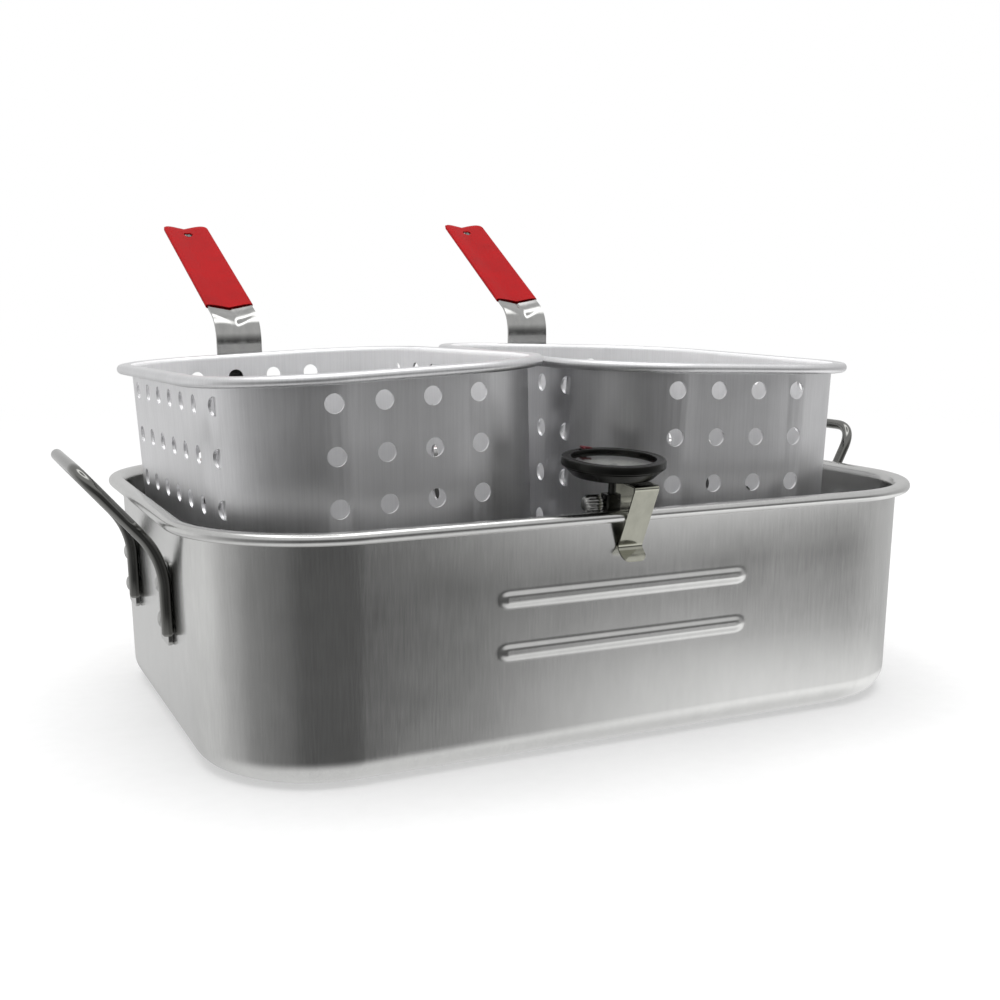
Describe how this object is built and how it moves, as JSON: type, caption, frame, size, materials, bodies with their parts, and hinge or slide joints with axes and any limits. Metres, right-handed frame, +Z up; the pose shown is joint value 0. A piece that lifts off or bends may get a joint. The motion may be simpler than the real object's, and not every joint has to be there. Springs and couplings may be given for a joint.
{
  "type": "twin-basket fry pan",
  "caption": "Rectangular fry pan with wire handles, lift-out perforated baskets with red grips and a dial thermometer clipped to its rim.",
  "frame": {"origin": "middle of the pan's flat underside", "axes": "+X along the pan's length, wire handle to wire handle; -Y towards the side the thermometer is clipped to, +Y the way the basket handles lean; +Z up"},
  "size_m": [0.5024, 0.4502, 0.292],
  "materials": {
    "drawn_aluminium": "satin, drawn and lightly brushed",
    "bright_plating": "bright nickel plating on steel",
    "red_vinyl": "dipped red vinyl, soft gloss",
    "spring_steel": "satin spring steel",
    "dark_metal": "dark gunmetal, semi-gloss",
    "lens_glass": "clear",
    "dial_enamel": "matt off-white",
    "needle_black": "matt black",
    "marker_red": "dark red enamel"
  },
  "bodies": {
    "pan": {"pan_body": "drawn_aluminium", "left_handle_wire": "bright_plating", "left_handle_plate_1": "bright_plating", "left_handle_plate_2": "bright_plating", "left_handle_rivet_1": "bright_plating", "left_handle_rivet_2": "bright_plating", "left_handle_rivet_3": "bright_plating", "left_handle_rivet_4": "bright_plating", "right_handle_wire": "bright_plating", "right_handle_plate_1": "bright_plating", "right_handle_plate_2": "bright_plating", "right_handle_rivet_1": "bright_plating", "right_handle_rivet_2": "bright_plating", "right_handle_rivet_3": "bright_plating", "right_handle_rivet_4": "bright_plating"},
    "left_basket": {"left_basket": "drawn_aluminium", "left_basket_strap": "bright_plating", "left_basket_grip": "red_vinyl", "left_basket_rivet_1": "bright_plating", "left_basket_rivet_2": "bright_plating"},
    "right_basket": {"right_basket": "drawn_aluminium", "right_basket_strap": "bright_plating", "right_basket_grip": "red_vinyl", "right_basket_rivet_1": "bright_plating", "right_basket_rivet_2": "bright_plating"},
    "clip": {"rim_clip": "spring_steel", "clip_collar": "dark_metal"},
    "thumb_screw": {"thumb_screw": "dark_metal"},
    "thermometer": {"dial_bezel": "dark_metal", "dial_lens": "lens_glass", "dial_case": "dark_metal", "dial_face": "dial_enamel", "thermometer_stem": "spring_steel", "stem_nut": "dark_metal", "bimetal_coil": "spring_steel"},
    "needle": {"dial_needle": "needle_black", "pointer_shaft": "spring_steel"},
    "marker": {"temperature_marker": "marker_red"}
  },
  "joints": [
    {"name": "left_basket_lift", "type": "slide", "parent": "pan", "child": "left_basket", "axis": [0, 0, 1], "range_m": [0, 0.22]},
    {"name": "right_basket_lift", "type": "slide", "parent": "pan", "child": "right_basket", "axis": [0, 0, 1], "range_m": [0, 0.22]},
    {"name": "clip_slide", "type": "slide", "parent": "pan", "child": "clip", "axis": [1, 0, 0], "range_m": [-0.03, 0.02]},
    {"name": "stem_slide", "type": "slide", "parent": "clip", "child": "thermometer", "axis": [0, -0.0785, 0.9969], "range_m": [0, 0.03]},
    {"name": "thumb_screw_turn", "type": "hinge", "parent": "clip", "child": "thumb_screw", "pos_m": [-0.0082, -0.14416, 0.12897], "axis": [1, 0, 0], "range_deg": [0, 360]},
    {"name": "needle_turn", "type": "hinge", "parent": "thermometer", "child": "needle", "pos_m": [-0.0082, -0.146, 0.1524], "axis": [0, 0.0785, -0.9969], "range_deg": [0, 270]},
    {"name": "marker_turn", "type": "hinge", "parent": "thermometer", "child": "marker", "pos_m": [-0.0082, -0.146, 0.1524], "axis": [0, -0.0785, 0.9969], "continuous": true}
  ]
}
